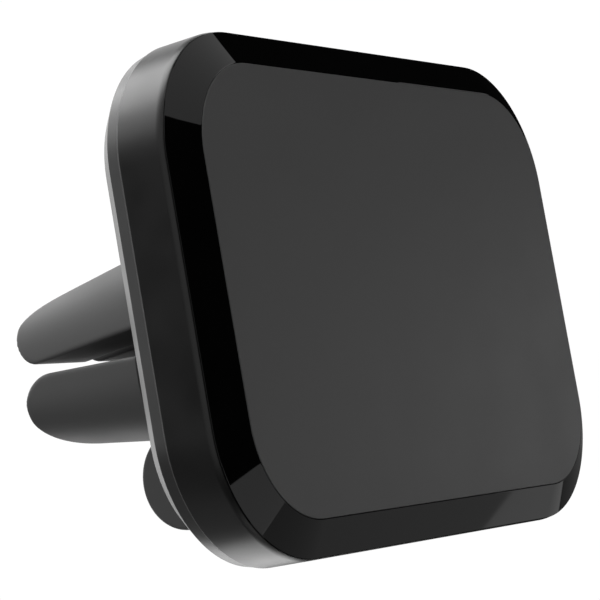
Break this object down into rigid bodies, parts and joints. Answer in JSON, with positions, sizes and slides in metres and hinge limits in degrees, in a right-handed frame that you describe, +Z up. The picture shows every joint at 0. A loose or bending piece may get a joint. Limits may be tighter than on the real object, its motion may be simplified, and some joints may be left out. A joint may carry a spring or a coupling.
{
  "type": "car phone mount",
  "caption": "Car phone mount: a rounded rectangular magnetic head with a soft pad and bevelled rim, on a ball joint behind it, with a pronged air-vent clip and a small swinging foot.",
  "frame": {"origin": "centre of the phone face, on the surface of the soft pad", "axes": "+X to the right seen from the front, +Y back through the head and the ball joint into the vent, +Z up; the phone lies against the face that looks along -Y"},
  "size_m": [0.06, 0.0378, 0.0428],
  "materials": {
    "pad_silicone": "matte fine-grained silicone, near black",
    "adhesive": "pale double-sided adhesive sheet",
    "bezel_gloss": "piano-black gloss plastic with sharp facets at the corners",
    "shell_satin": "satin black moulded plastic",
    "cover_satin": "satin black moulded plastic",
    "tray_plastic": "plain dark moulded plastic",
    "magnet_nickel": "nickel-plated magnet",
    "yoke_steel": "zinc-plated steel sheet",
    "screw_steel": "blackened steel",
    "joint_nylon": "black glass-filled nylon",
    "liner_nylon": "natural low-friction nylon",
    "ball_steel": "polished steel",
    "hub_plastic": "satin black moulded plastic",
    "prong_rubber": "smooth soft-touch rubber, black",
    "foot_rubber": "smooth matte rubber, black"
  },
  "bodies": {
    "clip_hub": {"ball_stud": "ball_steel", "stud_nut": "screw_steel", "hub_cap": "hub_plastic", "hub_body": "hub_plastic", "hub_screws": "screw_steel", "foot_pin": "ball_steel"},
    "friction_ring": {"friction_ring": "liner_nylon"},
    "ball_seat": {"ball_seat": "liner_nylon"},
    "head": {"front_pad": "pad_silicone", "pad_adhesive": "adhesive", "bezel": "bezel_gloss", "head_shell": "shell_satin", "rear_cover": "cover_satin", "magnet_tray": "tray_plastic", "magnets": "magnet_nickel", "yoke_plate": "yoke_steel", "cover_screws": "screw_steel", "ball_socket": "joint_nylon", "flange_screws": "screw_steel", "retaining_ring": "joint_nylon"},
    "foot": {"foot_lever": "joint_nylon", "foot_boot": "foot_rubber"},
    "prong_upper_left": {"prong_core_upper_left": "joint_nylon", "prong_sleeve_upper_left": "prong_rubber"},
    "prong_upper_right": {"prong_core_upper_right": "joint_nylon", "prong_sleeve_upper_right": "prong_rubber"},
    "prong_lower_left": {"prong_core_lower_left": "joint_nylon", "prong_sleeve_lower_left": "prong_rubber"},
    "prong_lower_right": {"prong_core_lower_right": "joint_nylon", "prong_sleeve_lower_right": "prong_rubber"}
  },
  "joints": [
    {"name": "head_yaw", "type": "hinge", "parent": "clip_hub", "child": "friction_ring", "pos_m": [0, 0.0126, 0], "axis": [0, 0, 1], "range_deg": [-15, 15]},
    {"name": "head_pitch", "type": "hinge", "parent": "friction_ring", "child": "ball_seat", "pos_m": [0, 0.0126, 0], "axis": [1, 0, 0], "range_deg": [-15, 15]},
    {"name": "head_spin", "type": "hinge", "parent": "ball_seat", "child": "head", "pos_m": [0, 0.0126, 0], "axis": [0, 1, 0], "continuous": true},
    {"name": "foot_swing", "type": "hinge", "parent": "clip_hub", "child": "foot", "pos_m": [0, 0.0209, -0.00935], "axis": [1, 0, 0], "range_deg": [-35, 0]},
    {"name": "flex_upper_left", "type": "hinge", "parent": "clip_hub", "child": "prong_upper_left", "pos_m": [-0.00375, 0.02235, 0.00335], "axis": [0.7071, 0, 0.7071], "range_deg": [0, 3], "stiffness_Nm_per_rad": 0.4},
    {"name": "flex_upper_right", "type": "hinge", "parent": "clip_hub", "child": "prong_upper_right", "pos_m": [0.00375, 0.02235, 0.00335], "axis": [0.7071, 0, -0.7071], "range_deg": [0, 3], "stiffness_Nm_per_rad": 0.4},
    {"name": "flex_lower_left", "type": "hinge", "parent": "clip_hub", "child": "prong_lower_left", "pos_m": [-0.00375, 0.02235, -0.00415], "axis": [-0.7071, 0, 0.7071], "range_deg": [0, 3], "stiffness_Nm_per_rad": 0.4},
    {"name": "flex_lower_right", "type": "hinge", "parent": "clip_hub", "child": "prong_lower_right", "pos_m": [0.00375, 0.02235, -0.00415], "axis": [-0.7071, 0, -0.7071], "range_deg": [0, 3], "stiffness_Nm_per_rad": 0.4}
  ]
}
